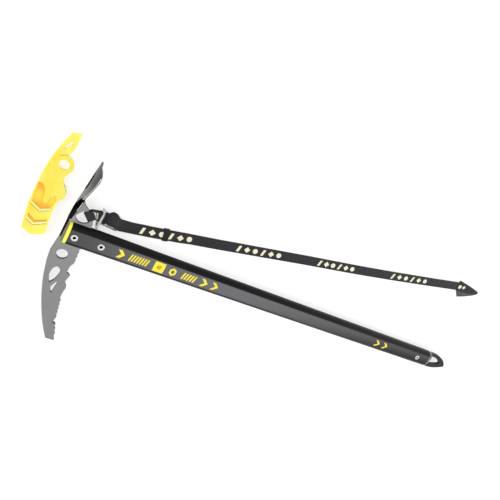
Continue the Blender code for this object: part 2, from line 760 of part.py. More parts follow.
def build_buckle(leash):
    """The buckle: a frame with three bars, and a bail that swings on its trunnions."""
    buckle = empty("buckle_axis", Matrix.Identity(4), leash)
    buckle.location = BUCKLE_PLACE
    buckle.rotation_euler = (0, 0, BUCKLE_TURN)
    rail = 9.4
    outer = arc((24.5, rail - 2), 2, 90, 0, 5) + arc((24.5, 2 - rail), 2, 0, -90, 5)
    outer += arc((-0.6, 1.2 - rail), 1.2, -90, -180, 4) + arc((-0.6, rail - 1.2), 1.2, 180, 90, 4)
    left = [(1.2, -7.8), (1.2, 7.8), (9.0, 7.8), (9.0, -7.8)]
    right = [(11.6, -7.8), (11.6, 7.8), (23.4, 7.8), (23.4, -7.8)]
    loops = [metres(outer), metres(left), metres(right)]
    frame = add(plate("buckle_frame", loops, BUCKLE_BOTTOM, BUCKLE_TOP), buckle, BUCKLE_STEEL)
    across = Matrix.Translation(BAIL_AXIS) @ Matrix.Rotation(math.radians(90), 4, "X")
    pin = cylinder("trunnion_pin", TRUNNION_R, -11.1 * MM, 11.1 * MM, 0, 0, 16)
    pin.data.transform(across)
    boolean(frame, add(pin, buckle), "UNION")
    shade(frame)
    swing = empty("bail_axis", Matrix.Translation(BAIL_AXIS), buckle)
    foot = 1.9
    top = 19.0
    bail_loop = [(-11.3, -foot), (-9.7, -foot), (-9.7, top - 3.6)]
    bail_loop += arc((-8.5, top - 3.6), 1.2, 180, 90, 4) + arc((8.5, top - 3.6), 1.2, 90, 0, 4)
    bail_loop += [(9.7, -foot), (11.3, -foot)]
    bail_loop += arc((8.8, top - 2.5), 2.5, 0, 90, 5) + arc((-8.8, top - 2.5), 2.5, 90, 180, 5)
    bail = plate("buckle_bail", [metres(bail_loop)], -1.3 * MM, 1.3 * MM)
    bail.data.transform(ACROSS_SHAFT)
    add(bail, swing, BUCKLE_STEEL)
    drill = cylinder("bail_drill", TRUNNION_R + GAP, -14 * MM, 14 * MM, 0, 0, 16)
    drill.data.transform(Matrix.Rotation(math.radians(90), 4, "X"))
    boolean(bail, add(drill, swing), "DIFFERENCE")
    bevel(shade(bail), 0.3 * MM)


# The rim of the head's hole that the anchor loop goes round, in the axe's frame.
RIM_MIDDLE = Vector((11.7, 29.0, 0)) * MM
RIM_OUTWARD = Vector((0.73, 0.684, 0))
RIM_ALONG = Vector((-0.684, 0.73, 0))


def build_anchor_loop(leash, resting):
    """The closed loop of webbing from the head's hole to the buckle's first bar."""
    rim = [(7.5, 3.4), (4, 3.2), (0, 3.0), (-1.6, 2.2), (-2.1, 0), (-1.6, -2.2), (0, -3.0)]
    rim += [(4, -3.2), (7.5, -3.4)]
    bar = [(-3.3, 4.2), (-2.4, 2.8), (-1.0, 2.4), (0.8, 2.4), (1.9, 3.0), (2.2, 4.5)]
    bar += [(1.9, 6.0), (0.8, 6.6), (-1.4, 6.9)]
    to_row = Matrix.Translation(BUCKLE_PLACE) @ Matrix.Rotation(BUCKLE_TURN, 4, "Z")
    stations = []
    for reach, z in rim:
        centre = resting @ (RIM_MIDDLE + RIM_OUTWARD * reach * MM + Vector((0, 0, z * MM)))
        across = resting.to_3x3() @ RIM_ALONG * 6.2 * MM
        stations.append((centre, across))
    down = []
    for u, z in bar:
        centre = to_row @ (Vector((u, 0, z)) * MM)
        down.append((centre, to_row.to_3x3() @ Vector((0, 7.2 * MM, 0))))
    lower_run = blend_stations(stations[-1], down[0], 4)
    upper_run = blend_stations(down[-1], stations[0], 4)
    ring = stations + lower_run + down + upper_run
    rows = [[c - a, c, c + a] for c, a in ring + ring[:1]]
    loop = add(surface("leash_anchor_loop", rows), leash, WEBBING)
    shape = bmesh.new()
    shape.from_mesh(loop.data)
    bmesh.ops.remove_doubles(shape, verts=shape.verts, dist=0.00001)
    shape.to_mesh(loop.data)
    shape.free()
    return shade(thicken(loop, WEB), 60)


def blend_stations(first, last, count):
    """Stations between two others, leaving both out."""
    stations = []
    for k in range(1, count):
        t = k / count
        stations.append((first[0].lerp(last[0], t), first[1].lerp(last[1], t)))
    return stations


def build_leash(resting):
    """The leash hangs on an empty whose Z is the axis it swings about at the head's hole."""
    pivot = resting @ (RIM_MIDDLE - RIM_OUTWARD * 1.5 * MM)
    axis = empty("leash_swing_axis", Matrix.Translation((pivot.x, pivot.y, 0)))
    leash = empty("leash_frame", Matrix.Translation((-pivot.x, -pivot.y, 0)), axis)
    build_anchor_loop(leash, resting)
    build_buckle(leash)
    build_straps(leash)
    build_end_fold(leash)
    build_keeper(leash)


# --------------------------------------------------------------------- the head cover


def cover_outline():
    """The cover seen from above, about the centre of its ring."""
    spine = smooth([(-5, 38.5), (-9.8, 25), (-14.2, 9), (-17.5, -10), (-19.8, -35.5), (-20.2, -58.7)])
    spine += smooth([(-19.1, -78.8), (-16.4, -96.3)])
    foot = smooth([(-13.4, -93.4), (-6.9, -96.7), (1.8, -94.5), (9.2, -90.2)], 3)
    side = smooth([(9.2, -81.6), (7.6, -61.6), (8.2, -52.6)], 3)
    side += smooth([(9.8, -43.6), (14.6, -38.9)], 2)
    side += smooth([(14.2, -33), (11.6, -28), (8.2, -23.6), (5.8, -19.4), (6.2, -14.6)], 3)
    ring = arc((0, 0), 11, -44, 84, 14)
    slit = [(1.0, 12.2), (-7.6, 8.6), (-8.0, 9.6), (0.8, 13.6)]
    tongue = smooth([(3.2, 19), (4.8, 27), (5.0, 42.3)], 3) + [(-4.8, 38.7)]
    return spine[:-1] + foot + side + ring + slit + tongue


def cover_recesses(cover, axis):
    """The two sunken grips above the chevron ridges."""
    upper = [(-18.4, -30.4), (-13.8, -30.0), (-8.4, -36.6), (-7.0, -49.6), (-4.4, -53.6)]
    upper += [(-1.8, -51.6), (-0.6, -41.4), (1.6, -43.2), (3.6, -38.8), (7.4, -43.8), (4.8, -56.2)]
    upper += [(-5.8, -61.6), (-17.2, -55.6)]
    lower = [(-16.0, -75.4), (-6.9, -80.6), (6.4, -74.0), (6.0, -71.6), (-7.0, -77.0), (-16.4, -70.6)]
    for name, loop in (("upper", upper), ("lower", lower)):
        top = COVER_HEIGHT + 2 * MM
        recess = plate("cover_recess_" + name, [metres(loop)], COVER_HEIGHT - 1.4 * MM, top)
        boolean(cover, add(recess, axis), "DIFFERENCE")


def build_cover():
    """The moulded sheath that clips over the head, lying on the floor beside it."""
    axis = empty("cover_slide_axis", Matrix.Translation((COVER_X, COVER_Y, 0)))
    hole = arc((0, 0), 6, 0, 345, 23)
    window = [(-1.9, 29.7), (-7.4, 17.6), (-3.4, 20.0), (0.5, 27.2)]
    loops = [metres(cover_outline()), metres(hole), metres(window)]
    cover = add(plate("head_cover", loops, 0.3 * MM, COVER_HEIGHT), axis, COVER_YELLOW)
    pocket = smooth([(-9.6, -24), (-14.4, -40), (-16.6, -58), (-15.4, -80), (-12.0, -110)])
    pocket += [(25, -110), (25, -24)]
    room = plate("cover_pocket", [metres(pocket)], 3.7 * MM, 8.5 * MM)
    boolean(cover, add(room, axis), "DIFFERENCE")
    low = (-30 * MM, COVER_THIN_PAST, -1 * MM)
    relief = block("cover_relief", low, (30 * MM, 60 * MM, COVER_THIN_BOTTOM))
    boolean(cover, add(relief, axis), "DIFFERENCE")
    cover_recesses(cover, axis)
    return bevel(shade(cover), 0.4 * MM)


build_axe()
build_leash(resting_frame())
build_cover()
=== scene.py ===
"""Looks of the ice axe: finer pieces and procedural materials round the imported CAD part.

Everything is in metres in the row frame: +Z up, the floor at Z = 0, +X along the shaft
towards the spike and +Y towards the adze. The axe's own frame has its origin at the centre
of the shaft's mouth, +X along the shaft and +Z out of the head's side. Short outlines are
lists of millimetres.
"""

import json
import math

import bmesh
import bpy
from mathutils import Matrix, Vector


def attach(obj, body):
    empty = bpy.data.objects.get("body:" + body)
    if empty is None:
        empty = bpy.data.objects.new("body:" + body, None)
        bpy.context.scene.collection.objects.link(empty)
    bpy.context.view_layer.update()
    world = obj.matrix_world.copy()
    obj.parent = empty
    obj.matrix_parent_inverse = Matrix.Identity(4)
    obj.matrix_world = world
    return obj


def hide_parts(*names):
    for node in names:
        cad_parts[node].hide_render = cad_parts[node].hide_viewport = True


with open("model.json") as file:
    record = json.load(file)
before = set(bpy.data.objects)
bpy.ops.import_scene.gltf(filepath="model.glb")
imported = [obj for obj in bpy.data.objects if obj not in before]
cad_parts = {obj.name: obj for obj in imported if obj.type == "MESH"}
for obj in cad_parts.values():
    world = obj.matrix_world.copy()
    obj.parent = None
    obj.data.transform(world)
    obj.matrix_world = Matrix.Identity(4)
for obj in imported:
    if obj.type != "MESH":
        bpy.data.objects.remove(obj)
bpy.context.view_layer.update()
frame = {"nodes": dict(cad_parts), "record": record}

MM = 0.001
WELD = 0.00001

# Shaft section, as in the CAD part.
FLAT_REACH = 5.5 * MM
ROUND_R = 10 * MM

# Webbing, as in the CAD part.
WEB = 1.2 * MM
WEB_WIDTH = 15 * MM
LAYER_1 = 0.9 * MM
LAYER_2 = 2.4 * MM
LAYER_3 = 3.9 * MM
TAIL_END = 110 * MM

# A point of the pick's flat side, in the axe's own frame.
PICK_SIDE = Vector((10, -105, 1.6)) * MM


def axe_frame():
    """The axe's own frame in the row frame, from the mount on the pick's flat side."""
    mount = next(m for m in frame["record"]["mounts"] if m["name"] == "pick_side")
    up = Vector(mount["axis"]).normalized()
    along = Vector((0, 1, 0)).cross(up).normalized()
    turn = Matrix((along, up.cross(along), up)).transposed()
    return Matrix.Translation(Vector(mount["pos_m"]) - turn @ PICK_SIDE) @ turn.to_4x4()


AXE = axe_frame()


# ------------------------------------------------------------------------- curve helpers


def metres(points):
    """A list of points in millimetres, in metres."""
    return [tuple(value * MM for value in point) for point in points]


def smooth(points, steps=4):
    """Points on a smooth curve (Catmull-Rom) through the given ones."""
    ends = [points[0], *points, points[-1]]
    result = []
    for a, b, c, d in zip(ends, ends[1:], ends[2:], ends[3:]):
        for k in range(steps):
            t = k / steps
            result.append(
                tuple(
                    0.5
                    * (
                        2 * q
                        + (r - p) * t
                        + (2 * p - 5 * q + 4 * r - s) * t**2
                        + (3 * q - p - 3 * r + s) * t**3
                    )
                    for p, q, r, s in zip(a, b, c, d)
                )
            )
    result.append(tuple(points[-1]))
    return result


def arc(centre, radius, start, end, steps=12):
    """Points along a circle's arc, from one angle to another in degrees."""
    angles = [math.radians(start + (end - start) * k / steps) for k in range(steps + 1)]
    return [
        (centre[0] + radius * math.cos(a), centre[1] + radius * math.sin(a)) for a in angles
    ]


# ---------------------------------------------------------------------------- materials


def add_node(tree, kind, options=None, inputs=None):
    """A shader node with its settings, and its inputs set or linked."""
    made = tree.nodes.new("ShaderNode" + kind)
    for key, value in (options or {}).items():
        setattr(made, key, value)
    for key, value in (inputs or {}).items():
        if isinstance(value, bpy.types.NodeSocket):
            tree.links.new(value, made.inputs[key])
        else:
            made.inputs[key].default_value = value
    return made


def math_node(tree, operation, a, b=0.0):
    """The result of one sum; either side is a number or a socket."""
    made = tree.nodes.new("ShaderNodeMath")
    made.operation = operation
    for socket, value in zip(made.inputs, (a, b)):
        if isinstance(value, bpy.types.NodeSocket):
            tree.links.new(value, socket)
        else:
            socket.default_value = value
    return made.outputs[0]


def noise(tree, vector, scale, detail=4.0, stretch=(1, 1, 1)):
    """A noise value, with the vector stretched along its axes first."""
    mapped = add_node(tree, "Mapping", inputs={"Vector": vector, "Scale": stretch})
    inputs = {"Vector": mapped.outputs[0], "Scale": scale, "Detail": detail}
    return add_node(tree, "TexNoise", inputs=inputs).outputs["Fac"]


def remap(tree, value, low, high, to_low=0.0, to_high=1.0):
    """A value moved from one range to another, and kept inside it."""
    inputs = {"Value": value, "From Min": low, "From Max": high}
    inputs.update({"To Min": to_low, "To Max": to_high})
    options = {"interpolation_type": "SMOOTHSTEP"}
    return add_node(tree, "MapRange", options, inputs).outputs[0]


def blend_colour(tree, factor, first, second):
    """A colour between two others; each is three numbers or a socket."""
    made = tree.nodes.new("ShaderNodeMix")
    made.data_type = "RGBA"
    for index, value in ((0, factor), (6, first), (7, second)):
        if isinstance(value, bpy.types.NodeSocket):
            tree.links.new(value, made.inputs[index])
        else:
            made.inputs[index].default_value = value if index == 0 else (*value, 1)
    return made.outputs[2]


def bumped(tree, shader, height, distance, strength=1.0):
    """Lay a height over the shader's normal; a second call adds to the first."""
    inputs = {"Height": height, "Distance": distance, "Strength": strength}
    link = shader.inputs["Normal"].links
    if link:
        inputs["Normal"] = link[0].from_socket
    bump = add_node(tree, "Bump", inputs=inputs)
    tree.links.new(bump.outputs[0], shader.inputs["Normal"])


def new_material(name, metallic=0.0, **sockets):
    """A Principled material, and what its nodes are built from."""
    made = bpy.data.materials.new(name)
    made.use_nodes = True
    tree = made.node_tree
    shader = tree.nodes["Principled BSDF"]
    shader.inputs["Metallic"].default_value = metallic
    for key, value in sockets.items():
        shader.inputs[key.replace("_", " ")].default_value = value
    place = add_node(tree, "TexCoord").outputs["Object"]
    return made, tree, shader, place


def in_axe_frame(tree, place):
    """The axe's own coordinates, from those of the row frame."""
    back = AXE.inverted()
    turn = {"Location": back.to_translation(), "Rotation": back.to_euler()}
    return add_node(tree, "Mapping", inputs={"Vector": place, **turn}).outputs[0]


def steel(name, dark, light, rough, grain=(1, 1, 1)):
    """Bare steel: mottled colour, uneven gloss and fine grinding lines."""
    made, tree, shader, place = new_material(name, metallic=1.0)
    patches = noise(tree, place, 45, 5)
    colour = blend_colour(tree, patches, (dark,) * 3, (light, light, light * 1.02))
    tree.links.new(colour, shader.inputs["Base Color"])
    gloss = remap(tree, noise(tree, place, 260, 3), 0.3, 0.7, rough[0], rough[1])
    tree.links.new(gloss, shader.inputs["Roughness"])
    bumped(tree, shader, noise(tree, place, 1500, 3, grain), 0.00004, 0.5)
    bumped(tree, shader, noise(tree, place, 120, 2), 0.0001, 0.2)
    return made


# The adze's painted light and shade at each place along it: dark at the neck, brightest below
# the slot.
ADZE_PAINTED_SHADES = [(16, 0.008), (26, 0.12), (40, 0.36), (62, 0.42), (84, 0.3), (98, 0.28)]


def adze_steel():
    """Forged steel with painted light and shade: dark at the neck, brightest below the slot and
    darker towards its edges.
    """
    made, tree, shader, place = new_material("adze_finish", metallic=1.0)
    place = in_axe_frame(tree, place)
    shader.inputs["Specular Tint"].default_value = (0.3, 0.3, 0.3, 1)
    split = add_node(tree, "SeparateXYZ", inputs={"Vector": place})
    wander = remap(tree, noise(tree, place, 60, 3), 0.3, 0.7, -3 * MM, 3 * MM)
    along = math_node(tree, "ADD", split.outputs["Y"], wander)
    shade = ADZE_PAINTED_SHADES[0][1]
    for (start, _), (end, value) in zip(ADZE_PAINTED_SHADES, ADZE_PAINTED_SHADES[1:]):
        step = remap(tree, along, start * MM, end * MM)
        grey = (value, value, value * 1.02)
        before = shade if isinstance(shade, bpy.types.NodeSocket) else (shade,) * 3
        shade = blend_colour(tree, step, before, grey)
    out = math_node(tree, "ABSOLUTE", split.outputs["Z"])
    # Painted shade: darker towards the adze's edges.
    edge = remap(tree, out, 2 * MM, 22 * MM, 0.0, 0.62)
    shade = blend_colour(tree, edge, shade, (0.03, 0.03, 0.031))
    # Painted shade: the outer face is painted black along its edge by the neck.
    taper = math_node(tree, "MULTIPLY", math_node(tree, "SUBTRACT", along, 36 * MM), 0.5)
    beyond = math_node(tree, "SUBTRACT", out, taper)
    neck = remap(tree, split.outputs["Y"], 50 * MM, 55 * MM, 1.0, 0.0)
    scale = math_node(tree, "MULTIPLY", remap(tree, beyond, -0.8 * MM, 0.8 * MM), neck)
    shade = blend_colour(tree, scale, shade, (0.004, 0.004, 0.004))
    tree.links.new(shade, shader.inputs["Base Color"])
    gloss = remap(tree, noise(tree, place, 260, 3), 0.3, 0.7, 0.42, 0.55)
    tree.links.new(gloss, shader.inputs["Roughness"])
    bumped(tree, shader, noise(tree, place, 1500, 3, (1, 5, 1)), 0.00004, 0.5)
    return made


def shaft_paint():
    """Anodised tube: grey on its broad sides and black on its round ones, with painted light
    and shade along and across it.
    """
    made, tree, shader, place = new_material("shaft_finish", Specular_IOR_Level=0.16)
    place = in_axe_frame(tree, place)
    split = add_node(tree, "SeparateXYZ", inputs={"Vector": place})
    across = math_node(tree, "ABSOLUTE", split.outputs["Y"])
    band = remap(tree, across, 8.4 * MM, 9.6 * MM)
    streaks = noise(tree, place, 90, 3, (0.04, 1, 1))
    grey = blend_colour(tree, streaks, (0.105, 0.105, 0.11), (0.125, 0.125, 0.13))
    # Painted shade: darker by the mouth, towards the spike and towards one edge of the broad
    # sides; the black turns a little lighter towards the spike as painted light.
    mouth = remap(tree, split.outputs["X"], 0.0, 0.1)
    grey = blend_colour(tree, mouth, (0.06, 0.06, 0.063), grey)
    side = remap(tree, split.outputs["Y"], -8 * MM, 8 * MM)
    painted_shade_grey = blend_colour(tree, side, (0.012, 0.012, 0.013), (0.06, 0.06, 0.062))
    painted_light_along = remap(tree, split.outputs["X"], 0.2, 0.62)
    grey = blend_colour(tree, painted_light_along, grey, painted_shade_grey)
    black = blend_colour(tree, painted_light_along, (0.003, 0.003, 0.003), (0.014, 0.014, 0.014))
    colour = blend_colour(tree, band, grey, black)
    tree.links.new(colour, shader.inputs["Base Color"])
    gloss = remap(tree, noise(tree, place, 500, 3, (0.1, 1, 1)), 0.3, 0.7, 0.34, 0.46)
    tree.links.new(gloss, shader.inputs["Roughness"])
    bumped(tree, shader, noise(tree, place, 2200, 2, (0.03, 1, 1)), 0.00002, 0.5)
    bumped(tree, shader, noise(tree, place, 900, 3), 0.00002, 0.4)
    return made


def painted(name, colour, worn, rough=(0.3, 0.45), coat=0.0):
    """Paint or moulded plastic: slight mottling, an orange-peel surface and dull patches."""
    made, tree, shader, place = new_material(name, Coat_Weight=coat)
    patches = remap(tree, noise(tree, place, 70, 6), 0.35, 0.75)
    tree.links.new(blend_colour(tree, patches, colour, worn), shader.inputs["Base Color"])
    gloss = remap(tree, noise(tree, place, 200, 4), 0.3, 0.7, rough[0], rough[1])
    tree.links.new(gloss, shader.inputs["Roughness"])
    bumped(tree, shader, noise(tree, place, 1100, 3), 0.00003, 0.5)
    return made


THREAD_PITCH = 0.85 * MM
PICK_PITCH = 1.5 * MM


def woven(name, dark, light, edge=0.35):
    """Webbing: lengthwise threads crossed by a weft, darker at its edges from darker edge
    threads and painted shade.

    Its UV map named "strap" is in metres: U along the strap and V from its middle line.
    """
    made, tree, shader, place = new_material(name, Roughness=0.85, Sheen_Weight=0.15)
    shader.inputs["Sheen Roughness"].default_value = 0.45
    uv = add_node(tree, "UVMap", {"uv_map": "strap"}).outputs[0]
    split = add_node(tree, "SeparateXYZ", inputs={"Vector": uv})
    warp_turn = math_node(tree, "MULTIPLY", split.outputs["Y"], 2 * math.pi / THREAD_PITCH)
    warp = math_node(tree, "SINE", warp_turn)
    weft_turn = math_node(tree, "MULTIPLY", split.outputs["X"], 2 * math.pi / PICK_PITCH)
    side = math_node(tree, "MULTIPLY", math_node(tree, "SIGN", warp), math.pi / 2)
    weft = math_node(tree, "SINE", math_node(tree, "ADD", weft_turn, side))
    ribs = math_node(tree, "ABSOLUTE", warp)
    height = math_node(tree, "ADD", ribs, math_node(tree, "MULTIPLY", weft, 0.45))
    # The weave's tops are painted lighter than its hollows: painted light and shade.
    lit = remap(tree, height, -0.2, 1.3)
    speckle = noise(tree, place, 1300, 2)
    lit = math_node(tree, "MULTIPLY", lit, remap(tree, speckle, 0.25, 0.75, 0.55, 1.0))
    # Darker towards the edges: partly darker edge threads, partly painted shade.
    away = math_node(tree, "ABSOLUTE", split.outputs["Y"])
    rim = remap(tree, away, 5.6 * MM, 7.0 * MM, 1.0, edge)
    lit = math_node(tree, "MULTIPLY", lit, rim)
    tree.links.new(blend_colour(tree, lit, dark, light), shader.inputs["Base Color"])
    bumped(tree, shader, height, 0.00016, 0.9)
    bumped(tree, shader, noise(tree, place, 4000, 2), 0.00003, 0.5)
    return made


def cover_plastic(name, deep, bright):
    """Translucent moulded plastic, a little deeper in colour where it is uneven."""
    made, tree, shader, place = new_material(name, IOR=1.45, Coat_Weight=0.15)
    shader.inputs["Subsurface Weight"].default_value = 0.6
    shader.inputs["Subsurface Radius"].default_value = (0.005, 0.0035, 0.0008)
    shader.inputs["Subsurface Scale"].default_value = 1.0
    clouds = noise(tree, place, 38, 3)
    colour = blend_colour(tree, remap(tree, clouds, 0.3, 0.7), deep, bright)
    tree.links.new(colour, shader.inputs["Base Color"])
    gloss = remap(tree, noise(tree, place, 300, 4), 0.3, 0.7, 0.3, 0.42)
    tree.links.new(gloss, shader.inputs["Roughness"])
    bumped(tree, shader, noise(tree, place, 700, 4), 0.00005, 0.4)
    return made


def recess_plastic():
    """The cover's plastic inside its grips: orange at both ends and yellow between."""
    made = cover_plastic("cover_deep_finish", (0.84, 0.36, 0.01), (0.86, 0.42, 0.015))
    tree = made.node_tree
    shader = tree.nodes["Principled BSDF"]
    place = add_node(tree, "TexCoord").outputs["Object"]
    split = add_node(tree, "SeparateXYZ", inputs={"Vector": place})
    away = math_node(tree, "ABSOLUTE", math_node(tree, "ADD", split.outputs["Y"], 46 * MM))
    ends = remap(tree, away, 2 * MM, 14 * MM)
    deep = shader.inputs["Base Color"].links[0].from_socket
    mixed = blend_colour(tree, ends, (0.84, 0.62, 0.05), deep)
    tree.links.new(mixed, shader.inputs["Base Color"])
    return made


FORGED = steel("forged_finish", 0.25, 0.3, (0.38, 0.5))
GROUND = steel("ground_finish", 0.42, 0.56, (0.26, 0.38), (6, 1, 1))
# Near black that stands in for shade: the head's walls, its roots and the rivets' bores are
# painted with it.
PAINTED_SHADE = painted("painted_shade_finish", (0.002, 0.002, 0.002), (0.006, 0.006, 0.006), (0.5, 0.65))
PAINTED_SHADE.node_tree.nodes["Principled BSDF"].inputs["Specular IOR Level"].default_value = 0.12
ADZE = adze_steel()
BRIGHT = steel("bright_finish", 0.66, 0.82, (0.16, 0.28))
BUCKLE = steel("buckle_finish", 0.4, 0.56, (0.24, 0.36), (1, 6, 1))
FERRULE = steel("ferrule_finish", 0.2, 0.3, (0.28, 0.4))
SHAFT = shaft_paint()
BLACK = painted("spike_finish", (0.005, 0.005, 0.0055), (0.014, 0.014, 0.015), (0.3, 0.45))
BLACK.node_tree.nodes["Principled BSDF"].inputs["Specular IOR Level"].default_value = 0.3
COLLAR = painted("collar_finish", (0.93, 0.84, 0.08), (0.86, 0.76, 0.06), (0.35, 0.5))
LINER = painted("liner_finish", (0.03, 0.03, 0.03), (0.04, 0.04, 0.04), (0.5, 0.7))
INK = painted("ink_finish", (0.88, 0.7, 0.02), (0.8, 0.62, 0.02), (0.4, 0.55))
RUBBER = painted("keeper_finish", (0.003, 0.003, 0.003), (0.008, 0.008, 0.008), (0.5, 0.65))
RUBBER.node_tree.nodes["Principled BSDF"].inputs["Specular IOR Level"].default_value = 0.25
WOVEN = woven("webbing_finish", (0.003, 0.0025, 0.0032), (0.028, 0.023, 0.029))
LIGHT_WOVEN = woven("inner_webbing_finish", (0.02, 0.019, 0.022), (0.12, 0.115, 0.13), 1.0)
THREAD = painted("thread_finish", (0.02, 0.018, 0.022), (0.05, 0.045, 0.05), (0.7, 0.85))
PRINT = woven("print_finish", (0.8, 0.78, 0.5), (1.0, 0.99, 0.8), 1.0)
YELLOW = cover_plastic("cover_finish", (0.84, 0.66, 0.05), (0.82, 0.76, 0.13))
RIM = cover_plastic("cover_rim_finish", (0.8, 0.52, 0.02), (0.84, 0.6, 0.04))
ORANGE = recess_plastic()
# A painted highlight along the cover's ridges, and a line of painted shadow below each.
RIDGE_HIGHLIGHT = painted("cover_ridge_highlight_finish", (0.95, 0.88, 0.45), (0.93, 0.84, 0.36), (0.3, 0.4))
RIDGE_SHADOW = painted("cover_ridge_shadow_finish", (0.5, 0.26, 0.01), (0.6, 0.32, 0.015), (0.4, 0.5))


# ------------------------------------------------------------------------- mesh helpers


def place_piece(obj, body, replaces=()):
    """Put a piece on its CAD body and in place of CAD nodes.

    A piece of the tilted axe gets the row frame's coordinates, so that its box is tight.
    """
    if body == "axe":
        obj.data.transform(obj.matrix_world)
        obj.matrix_world = Matrix.Identity(4)
    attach(obj, body)
    if replaces:
        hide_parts(*replaces)
    return obj


def finish_mesh(shape, name, materials, angle=35, place=None):
    """A smooth-shaded object from a bmesh."""
    mesh = bpy.data.meshes.new(name)
    shape.to_mesh(mesh)
    shape.free()
    for material in materials:
        mesh.materials.append(material)
    mesh.shade_smooth()
    mesh.set_sharp_from_angle(angle=math.radians(angle))
    obj = bpy.data.objects.new(name, mesh)
    bpy.context.scene.collection.objects.link(obj)
    if place is not None:
        obj.matrix_world = place
    return obj


def soften(obj, width, segments=2, angle=30, material=-1):
    """Round an object's sharp edges off."""
    modifier = obj.modifiers.new("edges", "BEVEL")
    modifier.width = width
    modifier.segments = segments
    modifier.limit_method = "ANGLE"
    modifier.angle_limit = math.radians(angle)
    modifier.harden_normals = True
    modifier.material = material
    return obj


def refined(node, materials, width, place=AXE, segments=2, edge_material=-1):
    """A copy of a CAD solid with clean flats and softened edges, in a frame of its own."""
    shape = bmesh.new()
    shape.from_mesh(frame["nodes"][node].data)
    shape.transform(place.inverted())
    bmesh.ops.remove_doubles(shape, verts=shape.verts, dist=WELD)
    flat = math.radians(0.2)
    bmesh.ops.dissolve_limit(shape, angle_limit=flat, verts=shape.verts, edges=shape.edges)
    for face in shape.faces:
        face.material_index = 0
    obj = finish_mesh(shape, node + "_detail", materials, place=place)
    return soften(obj, width, segments, material=edge_material)


def add_line(curve, points, closed=False):
    """Add a line of straight stretches through (x, y, z) points to a curve."""
    spline = curve.splines.new("POLY")
    spline.points.add(len(points) - 1)
    for point, (x, y, z) in zip(spline.points, points):
        point.co = (x, y, z, 1)
    spline.use_cyclic_u = closed


def curve_shape(curve):
    """A bmesh of a curve's surface. The curve itself is removed."""
    guide = bpy.data.objects.new(curve.name, curve)
    bpy.context.scene.collection.objects.link(guide)
    graph = bpy.context.evaluated_depsgraph_get()
    mesh = bpy.data.meshes.new_from_object(guide.evaluated_get(graph))
    bpy.data.objects.remove(guide)
    bpy.data.curves.remove(curve)
    shape = bmesh.new()
    shape.from_mesh(mesh)
    bpy.data.meshes.remove(mesh)
    return shape


def rounded_plate(name, loops, bottom, top, radius, material):
    """A flat plate with round edges: closed outlines in metres, the first outside."""
    curve = bpy.data.curves.new(name, "CURVE")
    curve.dimensions = "2D"
    curve.fill_mode = "BOTH"
    curve.extrude = (top - bottom) / 2 - radius
    curve.bevel_depth = radius
    curve.bevel_resolution = 2
    curve.offset = -radius
    for loop in loops:
        add_line(curve, [(x, y, 0) for x, y in loop], closed=True)
    shape = curve_shape(curve)
    bmesh.ops.remove_doubles(shape, verts=shape.verts, dist=WELD)
    bmesh.ops.recalc_face_normals(shape, faces=shape.faces)
    bmesh.ops.translate(shape, verts=shape.verts, vec=(0, 0, (top + bottom) / 2))
    return finish_mesh(shape, name, [material])


def rod(name, lines, radius, material, flatten=1.0, place=None):
    """Thin round bars along lines of (x, y, z) points; flatten squeezes their height."""
    curve = bpy.data.curves.new(name, "CURVE")
    curve.dimensions = "3D"
    curve.bevel_depth = radius
    curve.bevel_resolution = 2
    curve.use_fill_caps = True
    for line in lines:
        add_line(curve, [(x, y, z / flatten) for x, y, z in line])
    shape = curve_shape(curve)
    shape.transform(Matrix.Diagonal((1, 1, flatten, 1)))
    bmesh.ops.remove_doubles(shape, verts=shape.verts, dist=WELD)
    bmesh.ops.recalc_face_normals(shape, faces=shape.faces)
    return finish_mesh(shape, name, [material], 50, place)


def draped_marks(name, outlines, height, material, raise_by, place=None):
    """Thin printed marks: outlines filled, divided, and laid on a surface.

    height(x, y) gives the place on the surface of a point of the flat outline.
    """
    shape = bmesh.new()
    layer = shape.loops.layers.uv.new("strap")
    for outline in outlines:
        shape.faces.new([shape.verts.new((x, y, 0)) for x, y in outline])
    bmesh.ops.triangulate(shape, faces=shape.faces)
    long_edges = [e for e in shape.edges if e.calc_length() > 1.5 * MM]
    bmesh.ops.subdivide_edges(shape, edges=long_edges, cuts=3, use_grid_fill=True)
    bmesh.ops.triangulate(shape, faces=shape.faces)
    for face in shape.faces:
        for loop in face.loops:
            loop[layer].uv = loop.vert.co.xy
    for vertex in shape.verts:
        vertex.co = height(vertex.co.x, vertex.co.y)
    bmesh.ops.recalc_face_normals(shape, faces=shape.faces)
    if sum(face.normal.z for face in shape.faces) < 0:
        bmesh.ops.reverse_faces(shape, faces=shape.faces)
    bottom = list(shape.faces)
    made = bmesh.ops.extrude_face_region(shape, geom=bottom)
    for vertex in (v for v in made["geom"] if isinstance(v, bmesh.types.BMVert)):
        vertex.co.z += raise_by
    bmesh.ops.reverse_faces(shape, faces=bottom)
    return finish_mesh(shape, name, [material], 60, place)


# ------------------------------------------------------------------------------ the axe


# The adze's edge line that carries a painted highlight, in millimetres: its X, Y and Z in the
# axe's frame.
ADZE_EDGE = [(-2.0, 52.0, 10.9), (-0.3, 60.0, 14.9), (1.7, 68.0, 19.2)]
ADZE_EDGE += [(3.3, 76.0, 22.4), (4.5, 83.0, 24.1), (5.2, 88.0, 23.7), (5.4, 92.0, 21.2)]
# The rounded root between the adze's flange and the plate, black as painted shade, and the line
# along it that carries a painted highlight.
ROOT = [(-6.6, 20, 1.6), (-5.4, 27, 2.4), (-3.9, 34, 3.2), (-2.2, 42, 3.5), (-1.4, 47, 3.4)]
ROOT += [(-1.7, 51, 3.0)]
ROOT_R = 2.5 * MM
ROOT_LINE = [(-2.8, 33.5, 5.9), (-1.5, 40, 6.1), (-0.4, 46.5, 5.8)]
HALF_PLATE = 1.6 * MM
